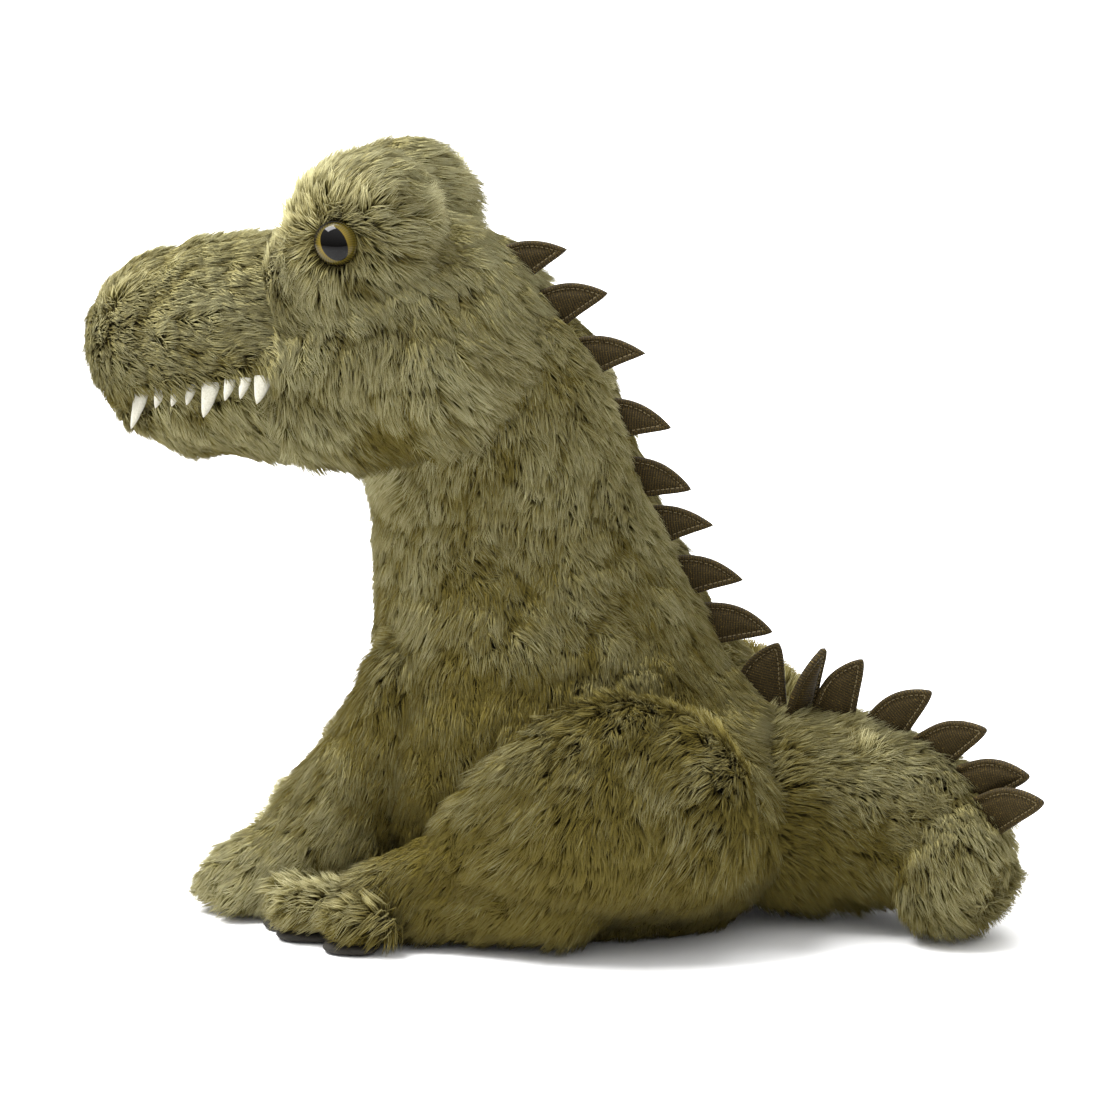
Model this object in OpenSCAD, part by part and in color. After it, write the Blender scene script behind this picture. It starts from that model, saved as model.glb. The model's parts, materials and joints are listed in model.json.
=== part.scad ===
// Stuffed dinosaur that sits on its seat, facing -X, with its tail behind it at +X and its left side at -Y.
// The origin is on the flat underside of the seat. Every cover is an open shell of long-pile fabric,
// with its fibre filling as a separate solid inside it. All sizes are in millimetres.

/* [Covers] */
// Thickness of a cover: backing cloth and pressed pile
pile = 6; // [4:0.5:8]
// Clearance between pieces that lie against each other
gap = 0.4; // [0.3:0.1:0.8]

/* [Torso] */
// Forward lean of the body's centre line from upright, in degrees
torso_lean = 13; // [10:1:15]
// Distance of the body's centre line behind the origin at the floor
torso_offset = 18; // [10:1:24]

/* [Head] */
// Radius of the skull part of the head
skull_r = 56; // [53:1:57]
// Height of the skull's centre, where the head nods
skull_z = 240; // [235:1:245]
// Distance of the skull's centre in front of the origin
skull_x = 64; // [60:1:68]
// Length of the muzzle from the skull's centre to the nose
muzzle_len = 139; // [125:1:145]
// Slope of the mouth line, in degrees, rising towards the back
mouth_slope = 10; // [6:1:14]
// Radius of each brow pocket
brow_r = 33; // [30:1:34]

/* [Eyes and teeth] */
// Radius of a safety eye
eye_r = 9; // [8:0.5:10]
// Teeth on each side of the mouth
tooth_count = 8; // [8]

/* [Legs] */
// Radius of the haunch about the hip
haunch_r = 60; // [54:1:60]
// Distance of a hind foot's centre line from the middle plane
hind_foot_y = 84; // [82:1:90]
// Radius of a hind foot
hind_foot_r = 21; // [19:1:23]
// Distance of a front leg's centre line from the middle plane
front_leg_y = 36; // [34:1:38]
// Radius of a front leg at the shoulder
shoulder_r = 25; // [22:1:26]

/* [Tail] */
// Radius of the tail at its seam
tail_root_r = 43; // [38:1:44]
// Radius of the tail at its tip
tail_tip_r = 26; // [22:1:27]

/* [Spikes] */
// Length of a spike above the cover
spike_len = 27; // [22:1:30]
// Width of a spike at its root
spike_w = 18; // [15:1:18]
// Thickness of a spike
spike_t = 4; // [3:0.5:5]

/* [Hidden] */
$fn = 48;
SIDES = [["left", -1], ["right", 1]];
SPIKE_COUNT = 15;

olive = [0.47, 0.47, 0.32];
fibre = [0.93, 0.93, 0.90];
bark = [0.20, 0.16, 0.09];
felt = [0.94, 0.94, 0.92];
big = 400;

// Body outline: distance up the leaning centre line, and radius there
torso_profile = [[-22, 60], [0, 76], [25, 87], [55, 90], [80, 86], [105, 78], [130, 69], [155, 61],
    [180, 56], [205, 54], [230, 49], [246, 43], [254, 38]];
// Ball that fills out the rump above the tail: centre and radius
rump_at = [54, 0, 60];
rump_r = 46;
// Muzzle outline: distance forward from the skull's centre, and radius there
muzzle_profile = [[0, 40], [30, 50], [60, 49], [85, 45], [110, 39], [128, 29], [136, 17], [139, 0]];
muzzle_scale = muzzle_len / 139;
muzzle_z = -3;
// Hinge of each front leg, the slope of the leg below level, and how far it swings up
shoulder = [-48, 98];
front_slope = 59;
front_leg_r = shoulder_r - 0.7;
front_swing = 30;
// Rear end of each front paw
paw_x = -86;
// Hinge of each hind leg, and how far it swings up
hip = [33, 60];
hind_swing = 25;
// Outline of a hind foot: distance forward from its heel, and radius there
hind_foot_profile = [[0, 18], [30, 20], [65, 20], [96, hind_foot_r], [114, 17], [123, 0]];
haunch_in = 49;
haunch_out = 103;
// Where the mouth line passes the nose, and where the mouth ends
mouth_at = [-175, 216];
mouth_end_x = -104;
bean_r = 42;
bean_h = 26;
bean_z = 22;
brow_at = [-80, 22, 285];
eye_at = [-82, 54, 284];
eye_turn = 8;
shank_r = 2;
// Centre line of the tail, as the three control points of a curve
tail_curve = [[100, 0, 45], [160, 3, 44], [170, -24, 27.5]];
tail_steps = 4;
// Spikes on the back: distance up the body's centre line, and lean above level
back_spikes = [[250, 22], [226, 10], [199, -2], [173, -4], [151, 8], [128, 4], [106, 0]];
// Spike over the rump: direction of its root from the ball's centre, and its lean above level
rump_spike = [47, 74];
// Spikes on the tail: place along its curve, lean above level, and turn about its own axis
tail_spikes = [[0.07, 70, 65], [0.19, 66], [0.38, 46], [0.58, 32], [0.79, 20], [0.98, 24]];
// Teeth of one side: distance of each behind the nose, its length and its width
teeth = [[28, 14, 8], [39, 6, 5], [47, 6, 5], [54, 6, 5], [63, 12, 8], [72, 6, 5], [79, 6, 5], [87, 9, 8]];

function spike_name(i) = str("spike_", i < 10 ? "0" : "", i);

// Smooth curve through the points of an outline, with n pieces between two points
function smooth(p, n = 3) = concat(
    [for (i = [0 : len(p) - 2]) for (k = [0 : n - 1]) between(p, i, k / n)], [p[len(p) - 1]]);
function between(p, i, t) =
    let (a = p[max(i - 1, 0)], b = p[i], c = p[i + 1], d = p[min(i + 2, len(p) - 1)])
    0.5 * (2 * b + (c - a) * t + (2 * a - 5 * b + 4 * c - d) * t * t + (3 * b - a - 3 * c + d) * t * t * t);

// The same outline, with every radius less by d and both ends drawn in by d
function inset(p, d) = [for (q = p) [min(max(q[0], p[0][0] + d), p[len(p) - 1][0] - d), max(q[1] - d, 0)]];

function radius_at(p, s) = let (hit = [for (i = [0 : len(p) - 2]) if (s >= p[i][0] && s <= p[i + 1][0])
    p[i][1] + (p[i + 1][1] - p[i][1]) * (s - p[i][0]) / (p[i + 1][0] - p[i][0])]) hit[0];

function curve_at(t) =
    tail_curve[0] * pow(1 - t, 2) + tail_curve[1] * 2 * t * (1 - t) + tail_curve[2] * t * t;
function tail_r(t) = tail_root_r + (tail_tip_r - tail_root_r) * t;

module turned(outline) {
    last = outline[len(outline) - 1][0];
    rotate_extrude() polygon(concat([[0, outline[0][0]]], [for (q = outline) [q[1], q[0]]], [[0, last]]));
}

module above(z) {
    intersection() {
        children();
        translate([-big, -big, z]) cube(2 * big);
    }
}

// The space that a leg of half-width w sweeps about the Y axis through c, from y0 outwards,
// between two angles measured from -X upwards
module sweep(c, w, from, to, y0) {
    far = [for (a = [from, (from + to) / 2, to]) [-big * cos(a), big * sin(a)]];
    low = w * [sin(from), cos(from)];
    high = w * [sin(to), cos(to)];
    translate([c[0], y0 + big, c[1]]) rotate([90, 0, 0]) linear_extrude(big)
        polygon([-low, far[0] - low, far[1] * 1.3, far[2] + high, high]);
}

// ---- torso ----
module torso_form(d) {
    above(d) {
        translate([torso_offset, 0, 0]) rotate([0, -torso_lean, 0])
            turned(smooth([for (q = torso_profile) [q[0], q[1] - d]], 2));
        translate(rump_at) rotate([30, 20, 0]) sphere(rump_r - d);
    }
}

// What the head, the legs and the tail take out of the body, with clearance c
module limb_rooms(c) {
    translate([-skull_x, 0, skull_z]) sphere(skull_r + c);
    translate(tail_curve[0]) sphere(tail_root_r + c);
    translate([tail_curve[0][0], -big / 2, -1]) cube([big, big, tail_curve[0][2] + tail_root_r + 1]);
    for (s = [0, 1]) mirror([0, s, 0]) {
        translate([hip[0], haunch_in - c, hip[1]]) rotate([-90, 0, 0]) cylinder(r = haunch_r + c, h = big);
        sweep(hip, 2, -100, hind_swing, hind_foot_y - hind_foot_r - 2 * c);
        translate([shoulder[0], front_leg_y - shoulder_r - c, shoulder[1]]) rotate([-90, 0, 0])
            cylinder(r = shoulder_r + 4 * c, h = big);
        sweep(shoulder, shoulder_r, -front_slope, front_swing - front_slope, front_leg_y - front_leg_r - c);
    }
}

module bean_form(d) {
    translate([torso_offset, 0, bean_z + d]) cylinder(r = bean_r - d, h = bean_h - 2 * d);
}

module torso_skin() {
    color(olive) difference() {
        torso_form(0);
        torso_form(pile);
        limb_rooms(gap);
    }
}

module torso_filling() {
    color(fibre) difference() {
        torso_form(pile + gap);
        limb_rooms(gap);
        bean_form(-gap);
    }
}

module bean_pouch() {
    color("tan") difference() {
        bean_form(0);
        bean_form(1);
    }
}

module bean_pellets() {
    color("white") bean_form(1 + gap);
}

// ---- head ----
module head_form(d) {
    translate([-skull_x, 0, skull_z]) rotate([0, 90, 0]) sphere(skull_r - d);
    for (s = [-1, 1]) translate([brow_at[0], brow_at[1] * s, brow_at[2]])
        rotate([0, 20, 0]) sphere(brow_r - d);
    muzzle_form(d);
}

module muzzle_form(d) {
    translate([-skull_x, 0, skull_z + muzzle_z]) rotate([0, -90, 0])
        turned(smooth(inset([for (q = muzzle_profile) [q[0] * muzzle_scale, q[1]]], d), 2));
}

// The space below the mouth line, in front of the mouth's corner
module jaw_room() {
    translate([mouth_at[0], 0, mouth_at[1]]) rotate([0, -mouth_slope, 0])
        translate([-big, -big, -big]) cube([big + mouth_end_x - mouth_at[0], 2 * big, big]);
}

module head_skin() {
    color(olive) difference() {
        head_form(0);
        head_form(pile);
        jaw_room();
        for (s = [-1, 1]) at_eye(s) {
            translate([0, 0, -1.5]) cylinder(r = eye_r + gap, h = eye_r);
            translate([0, 0, -14]) cylinder(r = shank_r + gap, h = 14);
        }
    }
}

module jaw_skin() {
    color(olive) intersection() {
        difference() {
            muzzle_form(0);
            muzzle_form(pile);
            translate([-skull_x, 0, skull_z]) sphere(skull_r - pile);
        }
        translate([0, 0, -gap]) jaw_room();
    }
}

module head_filling() {
    color(fibre) difference() {
        head_form(pile + gap);
        for (s = [-1, 1]) at_eye(s) translate([0, 0, -18]) cylinder(r = 8, h = 30);
    }
}

// ---- eyes: the frame of an eye has +Z out of the head ----
module at_eye(s) {
    translate([eye_at[0], s * eye_at[1], eye_at[2]]) rotate([0, 0, 180 - s * (90 - eye_turn)])
        rotate([0, 84, 0]) children();
}

module eye_dome(s) {
    color([0.55, 0.42, 0.12]) at_eye(s) intersection() {
        translate([0, 0, -eye_r * 0.35]) sphere(eye_r * 1.06);
        cylinder(r = eye_r, h = eye_r);
    }
}

module eye_shank(s) {
    color("black") at_eye(s) {
        translate([0, 0, -1.5]) cylinder(r = eye_r, h = 1.5);
        translate([0, 0, -14]) cylinder(r = shank_r, h = 13);
    }
}

module eye_washer(s) {
    color("white") at_eye(s) difference() {
        translate([0, 0, -11]) cylinder(r = 7, h = 1.5);
        translate([0, 0, -12]) cylinder(r = shank_r, h = 4);
    }
}

// ---- teeth: felt points sewn into the lip seam ----
module tooth(s, i) {
    t = teeth[i - 1];
    x = muzzle_len - t[0];
    drop = mouth_at[1] - skull_z - muzzle_z + (t[0] - 28) * tan(mouth_slope);
    r = radius_at(smooth(muzzle_profile, 2), x / muzzle_scale);
    y = sqrt(max(r * r - drop * drop, 1));
    color(felt) translate([-skull_x - x, s * (y - 1.5), skull_z + muzzle_z + drop + 3])
        rotate([s * 8, 0, s * (t[0] < 35 ? 30 : 8)]) tooth_shape(t[1], t[2]);
}

module tooth_shape(len, w) {
    translate([0, 1, 0]) rotate([90, 0, 0]) linear_extrude(2)
        polygon([[-w / 2, 0], [w / 2, 0], [w * 0.42, -len * 0.35], [w * 0.22, -len * 0.75], [0, -len - 3],
            [-w * 0.22, -len * 0.75], [-w * 0.42, -len * 0.35]]);
}

// ---- legs ----
module front_leg_form(s, d) {
    above(d) {
        translate([shoulder[0], s * (front_leg_y - shoulder_r), shoulder[1]]) rotate([-90 * s, 0, 0])
            turned([[d, shoulder_r - d], [44 - d, shoulder_r - d], [50 - d, shoulder_r - 9 - d]]);
        translate([shoulder[0], s * front_leg_y, shoulder[1]]) rotate([0, -90 - front_slope, 0])
            turned(inset([[0, front_leg_r], [30, 24], [60, 23], [82, 21], [96, 15], [100, 0]], d));
        translate([paw_x, s * front_leg_y, 19]) rotate([0, -90, 0])
            turned(smooth(inset([[0, 12], [8, 21], [36, 22.5], [54, 18], [62, 0]], d), 2));
    }
}

module front_leg_skin(s) {
    color(olive) difference() {
        front_leg_form(s, 0);
        front_leg_form(s, pile);
        seam_hole(s, shoulder, front_leg_y - shoulder_r, shoulder_r - pile);
    }
}

// The round hole of a leg's cover where it is sewn to the body
module seam_hole(s, c, y, r) {
    translate([c[0], s * (y - 1), c[1]]) rotate([-90 * s, 0, 0]) cylinder(r = r, h = pile + 2);
}

module front_leg_filling(s) {
    color(fibre) front_leg_form(s, pile + gap);
}

module hind_leg_form(s, d) {
    above(d) {
        translate([hip[0], s * haunch_in, hip[1]]) rotate([-90 * s, 0, 0])
            turned([[d, haunch_r - d], [24 - d, haunch_r - d], [38 - d, haunch_r - 7 - d],
                [48 - d, haunch_r - 22 - d], [haunch_out - haunch_in - d, 18]]);
        translate([10, s * hind_foot_y, hind_foot_r - 4]) rotate([0, -90, 0])
            turned(smooth(inset(hind_foot_profile, d), 2));
    }
}

module hind_leg_skin(s) {
    color(olive) difference() {
        hind_leg_form(s, 0);
        hind_leg_form(s, pile);
        seam_hole(s, hip, haunch_in, haunch_r - 3 * pile);
        sole_form(s);
    }
}

module hind_leg_filling(s) {
    color(fibre) hind_leg_form(s, pile + gap);
}

// A dark pad let into the underside of the foot
module sole_form(s) {
    translate([0, s * hind_foot_y, -1]) linear_extrude(3) {
        translate([-88, 0]) circle(14);
        translate([-88, -12]) square([36, 24]);
        translate([-52, 0]) circle(12);
    }
}

module sole_pad(s) {
    color(bark) above(0) sole_form(s);
}

// ---- tail ----
module tail_form(d) {
    for (i = [0 : tail_steps - 1]) hull() for (k = [i, i + 1]) {
        t = k / tail_steps;
        translate(curve_at(t)) sphere(tail_r(t) - d, $fn = 24);
    }
}

module tail_skin() {
    color(olive) above(0) difference() {
        tail_form(0);
        tail_form(pile);
        translate([-big + tail_curve[0][0] - 30, -big / 2, -1]) cube([big, big, big]);
    }
}

module tail_filling() {
    color(fibre) above(pile) tail_form(pile + gap);
}

// ---- spikes: puffed leaves sewn into the back seam ----
module leaf() {
    arc_r = (pow(spike_len, 2) + pow(spike_w / 2, 2)) / spike_w;
    rotate([90, 0, 0]) translate([0, 0, -spike_t / 2]) linear_extrude(spike_t) intersection() {
        translate([0, arc_r - spike_w / 2]) circle(arc_r);
        translate([0, spike_w / 2 - arc_r]) circle(arc_r);
        translate([-pile, -spike_w]) square([spike_len + pile, 2 * spike_w]);
    }
}

module back_spike(i) {
    s = back_spikes[i - 2][0];
    r = radius_at(torso_profile, s) - pile;
    translate([torso_offset, 0, 0]) rotate([0, -torso_lean, 0]) translate([r, 0, s])
        rotate([0, torso_lean - back_spikes[i - 2][1], 0]) leaf();
}

module over_rump_spike() {
    translate(rump_at) rotate([0, -rump_spike[0], 0]) translate([rump_r - pile, 0, 0])
        rotate([0, rump_spike[0] - rump_spike[1], 0]) leaf();
}

module crown_spike() {
    translate([-skull_x, 0, skull_z]) rotate([0, -36, 0]) translate([skull_r - 4, 0, 0])
        rotate([0, 14, 0]) leaf();
}

module tail_spike(t, lean, turn) {
    up = 98 - 53 * t * t;
    translate(curve_at(t)) rotate([0, -up, 0]) translate([tail_r(t) - 1, 0, 0])
        rotate([0, up - lean, 0]) rotate([turn, 0, -25 * t]) leaf();
}

module spike(i) {
    place = concat(tail_spikes[max(i, 10) - 10], [0]);
    color(bark) difference() {
        if (i == 1) crown_spike();
        else if (i <= 8) back_spike(i);
        else if (i == 9) over_rump_spike();
        else tail_spike(place[0], place[1], place[2]);
        if (i == 1) translate([-skull_x, 0, skull_z]) sphere(skull_r - pile);
        else if (i <= 9) torso_form(pile);
        else for (t = [place[0], place[0] - 0.1]) translate(curve_at(t)) sphere(tail_r(t) - pile / 3);
        if (i == 2) translate([-skull_x, 0, skull_z]) sphere(skull_r + gap);
        if (i == 9) translate(tail_curve[0]) sphere(tail_root_r + 2 * gap);
    }
}

torso_skin();
torso_filling();
bean_pouch();
bean_pellets();
head_skin();
jaw_skin();
head_filling();
for (s = SIDES) {
    eye_dome(s[1]);
    eye_shank(s[1]);
    eye_washer(s[1]);
    for (i = [1 : tooth_count]) tooth(s[1], i);
    front_leg_skin(s[1]);
    front_leg_filling(s[1]);
    hind_leg_skin(s[1]);
    hind_leg_filling(s[1]);
    sole_pad(s[1]);
}
tail_skin();
tail_filling();
for (i = [1 : SPIKE_COUNT]) spike(i);
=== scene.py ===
"""Looks of the stuffed dinosaur: sewn covers, combed pile, spikes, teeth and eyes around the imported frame.

Shapes are worked out in millimetres in the frame's own axes (the toy faces -X, its left side is -Y) and are
scaled to metres when a mesh is made. A cover is the zero surface of a distance field. The pile on it is made
of closed, bent, tapering tufts that are combed, clumped and cut by rules."""

import json
import math

import bmesh
import bpy
import numpy as np
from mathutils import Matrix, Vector, kdtree


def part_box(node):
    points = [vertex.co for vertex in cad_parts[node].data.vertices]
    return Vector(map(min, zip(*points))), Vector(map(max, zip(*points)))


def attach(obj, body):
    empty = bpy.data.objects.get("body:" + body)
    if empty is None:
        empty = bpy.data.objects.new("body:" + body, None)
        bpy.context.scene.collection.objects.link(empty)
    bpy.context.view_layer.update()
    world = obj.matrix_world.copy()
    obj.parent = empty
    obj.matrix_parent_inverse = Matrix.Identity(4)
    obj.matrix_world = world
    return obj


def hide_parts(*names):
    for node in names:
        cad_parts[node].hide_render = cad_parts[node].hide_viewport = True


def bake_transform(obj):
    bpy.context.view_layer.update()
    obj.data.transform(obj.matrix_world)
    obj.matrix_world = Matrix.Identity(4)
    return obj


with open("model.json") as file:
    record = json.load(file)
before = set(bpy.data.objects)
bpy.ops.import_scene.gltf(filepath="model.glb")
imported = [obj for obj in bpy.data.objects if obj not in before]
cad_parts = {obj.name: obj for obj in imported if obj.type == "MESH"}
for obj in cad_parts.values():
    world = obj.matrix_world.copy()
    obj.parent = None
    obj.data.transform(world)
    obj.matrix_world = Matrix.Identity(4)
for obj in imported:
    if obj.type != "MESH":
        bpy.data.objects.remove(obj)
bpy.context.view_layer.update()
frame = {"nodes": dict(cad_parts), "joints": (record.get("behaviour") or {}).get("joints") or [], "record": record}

MM = 0.001
SIDES = {"left": -1, "right": 1}
SPIKE_NAMES = sorted(n for n in frame["nodes"] if n.startswith("spike_"))
TOOTH_NAMES = sorted(n for n in frame["nodes"] if n.startswith("tooth_"))
JOINTS = {j["name"]: np.array(j["pos_m"]) / MM for j in frame["joints"]}
BODY_OF = {n: b for b, nodes in frame["record"]["behaviour"]["bodies"].items() for n in nodes}

PILE = 7.0  # from the cloth to the silhouette of the combed pile
CLOTH = 1.2  # thickness of the backing cloth
GROUND = 2.5  # height of the cloth above the floor where the toy sits on its pressed pile


def corners(node):
    lo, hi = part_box(node)
    return np.array(lo) / MM, np.array(hi) / MM


def middle(node):
    lo, hi = corners(node)
    return (lo + hi) / 2


def unit(v):
    return v / np.maximum(np.linalg.norm(v, axis=-1, keepdims=True), 1e-9)


# ---- distance fields ----
def smooth_min(a, b, k):
    """The lesser of two distances, with a fillet of about k where they meet."""
    h = np.maximum(k - np.abs(a - b), 0) / k
    return np.minimum(a, b) - h * h * k / 4


def smooth_max(a, b, k):
    return -smooth_min(-a, -b, k)


def ellipsoid(p, centre, radii):
    q = (p - np.array(centre)) / np.array(radii)
    k0 = np.linalg.norm(q, axis=1)
    k1 = np.linalg.norm(q / np.array(radii), axis=1)
    return k0 * (k0 - 1) / np.maximum(k1, 1e-9)


def chain(p, balls):
    """Balls (x, y, z, r) joined by tapering rods."""
    best = np.full(len(p), 1e9)
    for a, b in zip(balls[:-1], balls[1:], strict=True):
        a, b = np.array(a, float), np.array(b, float)
        ab = b[:3] - a[:3]
        t = np.clip((p - a[:3]) @ ab / (ab @ ab), 0, 1)
        d = np.linalg.norm(p - a[:3] - t[:, None] * ab, axis=1) - (a[3] + (b[3] - a[3]) * t)
        best = np.minimum(best, d)
    return best


def noise(p, size, seed):
    """Smooth random values from -1 to 1, in lumps of that size."""
    q = p / size + 1000.0
    cell = np.floor(q).astype(np.int64)
    f = q - cell
    f = f * f * (3 - 2 * f)
    total = np.zeros(len(p))
    for corner in np.ndindex(2, 2, 2):
        c = cell + corner
        h = (c[:, 0] * 73856093) ^ (c[:, 1] * 19349663) ^ (c[:, 2] * 83492791) ^ (seed * 265443576)
        h = ((h ^ (h >> 13)) * 1274126177) & 0x7FFFFFFF
        h = ((h ^ (h >> 15)) * 1103515245) & 0x7FFFFFFF
        w = np.prod(np.where(corner, f, 1 - f), axis=1)
        total += w * ((h >> 8) % 4096 / 2047.5 - 1)
    return total


def noise_vector(p, size, seed):
    return np.stack([noise(p, size, seed + i) for i in range(3)], axis=1)


# ---- shapes of the stuffed parts: the silhouette of each, with its pile ----
SKULL = JOINTS["head_nod"]
MOUTH = (-111.0, -27.0)  # a point of the mouth line, seen from the side and measured from the skull's centre
MOUTH_SLOPE = math.radians(13)
MOUTH_END = -46.0
TORSO_BASE = np.array([18.0, 0, 0])
TORSO_LEAN = math.radians(13)
TORSO_OUTLINE = [(-22, 60), (0, 76), (25, 87), (55, 90), (80, 86), (105, 78), (130, 71), (155, 64), (180, 60),
                 (205, 57.5), (230, 52), (246, 46), (256, 37), (262, 22)]
RUMP = [(54, 0, 60, 47), (62, 38, 46, 43), (62, -38, 46, 43)]
TAIL_ROOT = JOINTS["tail_swing"]
TAIL_BEND = np.array([158.0, 2, 47])
TAIL_TIP = np.array([170.0, -22, 30.0])
TAIL_R = (43.0, 28.5)


def below_mouth(q):
    """Distance below the mouth line, from the skull's centre. It is negative above it and behind its end."""
    drop = (MOUTH[1] + (q[:, 0] - MOUTH[0]) * math.tan(MOUTH_SLOPE) - q[:, 2]) * math.cos(MOUTH_SLOPE)
    return smooth_min(drop, MOUTH_END - q[:, 0], 6)


def head_whole(q):
    """Skull, muzzle, lower jaw, cheeks, and the two brow ridges that run back from over the eyes."""
    beside = q * (1, 0, 1) + np.abs(q) * (0, 1, 0)
    d = ellipsoid(q, (2, 0, -1), (57, 56, 55))
    muzzle = chain(q, [(-8, 0, -3, 44), (-58, 0, -5, 46), (-86, 0, -4.5, 43.5), (-105, 0, -4, 38.5)])
    lower = chain(q, [(-8, 0, -12, 44), (-58, 0, -14, 45), (-86, 0, -18, 41), (-104, 0, -19, 34)])
    d = smooth_min(smooth_min(d, muzzle, 10), lower, 8)
    d = smooth_min(d, ellipsoid(beside, (-14, 19, -10), (46, 40, 44)), 10)
    d = smooth_min(d, ellipsoid(q, (16, 0, -16), (52, 63, 47)), 14)
    ridge = chain(beside, [(-8, 24, 45, 25.5), (2, 20, 34, 20.5), (23, 13, 17, 18.5)])
    upper = ellipsoid(beside, (-11.5, 27, 47), (33.5, 29, 33.5))
    socket = smooth_min(upper, ellipsoid(beside, (-24, 25, 22), (35, 30, 32)), 14)
    return smooth_min(d, smooth_min(socket, ridge, 8), 5)


def crown_form(p, inset=0.0):
    q = p - SKULL
    return smooth_max(head_whole(q) + inset, below_mouth(q) + 0.6, 3)


def jaw_form(p, inset=0.0):
    q = p - SKULL
    return smooth_max(head_whole(q) + 0.6 + inset, 0.6 - below_mouth(q), 4)


def torso_form(p, inset=0.0):
    axis = np.array([-math.sin(TORSO_LEAN), 0, math.cos(TORSO_LEAN)])
    q = p - TORSO_BASE
    s = q @ axis
    across = q - s[:, None] * axis
    across[:, 1] *= 1 + 0.16 * np.clip((s - 120) / 60, 0, 1)  # the neck is deeper than it is wide
    out = np.linalg.norm(across, axis=1)
    outline = np.array(TORSO_OUTLINE, float)
    r = sum(np.interp(s + k, *outline.T) for k in (-9, -3, 3, 9)) / 4
    slope = (np.interp(s + 6, *outline.T) - np.interp(s - 6, *outline.T)) / 12
    d = smooth_max((out - r) / np.sqrt(1 + slope * slope), s - outline[-1, 0], 12)
    for x, y, z, ball in RUMP:
        d = smooth_min(d, np.linalg.norm(p - (x, y, z), axis=1) - ball, 14)
    return d + inset


FRONT_LEG_REACH = {"left": 0, "right": 7}  # the far leg is pushed a little further forwards


def front_leg_form(side):
    x, y, z = JOINTS[f"front_leg_{side}_swing"]
    out = SIDES[side]
    fore = x - FRONT_LEG_REACH[side]
    leg = [(x, y, z, 27), (fore - 17, y + out, z - 33, 29), (fore - 38, y + 4 * out, z - 64, 31)]
    paw = [(fore - 30, y + 7 * out, 25, 28), (fore - 64, y + 12 * out, 19, 22),
           (x - 77, y + 16 * out, 16, 17)]
    toes = [(x - 90, y + 2 * out, 12, 12), (x - 89, y + 17 * out, 12, 12), (x - 76, y + 29 * out, 11, 11)]

    def form(p, inset=0.0):
        d = smooth_min(chain(p, leg), chain(p, paw), 12)
        for tx, ty, tz, r in toes:
            toe = chain(p, [(tx + 14, ty * 0.7 + y * 0.3, tz + 4, r), (tx, ty, tz, r)])
            d = smooth_min(d, toe, 4)
        return d + inset
    return form


def hind_leg_form(side):
    x, y, z = JOINTS[f"hind_leg_{side}_swing"]
    out = SIDES[side]
    foot_y = middle(f"sole_pad_{side}")[1]
    foot = [(x - 10, foot_y, 22, 21), (x - 70, foot_y, 14, 16), (x - 112, foot_y - 2 * out, 11, 12)]
    toes = [(x - 133, foot_y - 12 * out, 12, 12.5), (x - 123, foot_y + 3 * out, 12, 12.5),
            (x - 99, foot_y + 18 * out, 12, 12.5)]

    def form(p, inset=0.0):
        rear = ellipsoid(p, (x + 18, y - 9 * out, z - 3), (49, 34, 46))
        thigh = ellipsoid(p, (x - 12, y - 6 * out, z - 8), (48, 34, 44))
        knee = chain(p, [(x - 6, foot_y - 5 * out, z - 6, 33), (x - 45, foot_y - 4 * out, z - 15, 23)])
        shin = chain(p, [(x - 45, foot_y - 4 * out, z - 15, 23), (x - 90, foot_y, 22, 14)])
        d = smooth_min(smooth_min(rear, thigh, 26), knee, 14)
        d = smooth_min(smooth_min(d, shin, 8), chain(p, foot), 8)
        for tx, ty, tz, r in toes:
            d = smooth_min(d, chain(p, [(tx + 16, ty, tz + 1, r - 1), (tx, ty, tz, r)]), 2)
        return d + inset
    return form


def tail_at(t):
    return TAIL_ROOT * (1 - t) ** 2 + TAIL_BEND * 2 * t * (1 - t) + TAIL_TIP * t * t


def tail_form(p, inset=0.0):
    balls = [(*tail_at(t), TAIL_R[0] + (TAIL_R[1] - TAIL_R[0]) * t) for t in np.linspace(0, 1, 7)]
    return chain(p, balls) + inset


def cloth_of(form, inset=PILE):
    """The form drawn in from its silhouette, and flat where the toy sits."""
    return lambda p: smooth_max(form(p, inset), GROUND + (inset - PILE) - p[:, 2], 5)


# ---- meshes ----
def new_object(name, data):
    piece = bpy.data.objects.new(name, data)
    bpy.context.scene.collection.objects.link(piece)
    return piece


def mesh_of(name, vertices, faces):
    """A smooth mesh from vertices in millimetres."""
    mesh = bpy.data.meshes.new(name)
    mesh.from_pydata((np.array(vertices) * MM).tolist(), [], faces)
    mesh.shade_smooth()
    return mesh


def rings(count, sides, start=0):
    """Quads that join rings of vertices into a tube."""
    faces = []
    for i in range(count - 1):
        for k in range(sides):
            a, b = start + i * sides + k, start + i * sides + (k + 1) % sides
            faces.append((a, b, b + sides, a + sides))
    return faces


def unwrap(mesh, place):
    """Gives each vertex its own place in the square that the materials read."""
    layer = mesh.uv_layers.new(name="OFBake")
    corner = np.zeros(len(mesh.loops), np.int32)
    mesh.loops.foreach_get("vertex_index", corner)
    layer.data.foreach_set("uv", place[corner].astype(np.float32).ravel())


def tidy(mesh):
    """Joins doubled vertices and turns every face outwards."""
    bm = bmesh.new()
    bm.from_mesh(mesh)
    bmesh.ops.remove_doubles(bm, verts=bm.verts, dist=0.02 * MM)
    bmesh.ops.dissolve_degenerate(bm, edges=bm.edges, dist=0.005 * MM)
    bmesh.ops.recalc_face_normals(bm, faces=bm.faces)
    bm.to_mesh(mesh)
    bm.free()
    mesh.shade_smooth()


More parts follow.
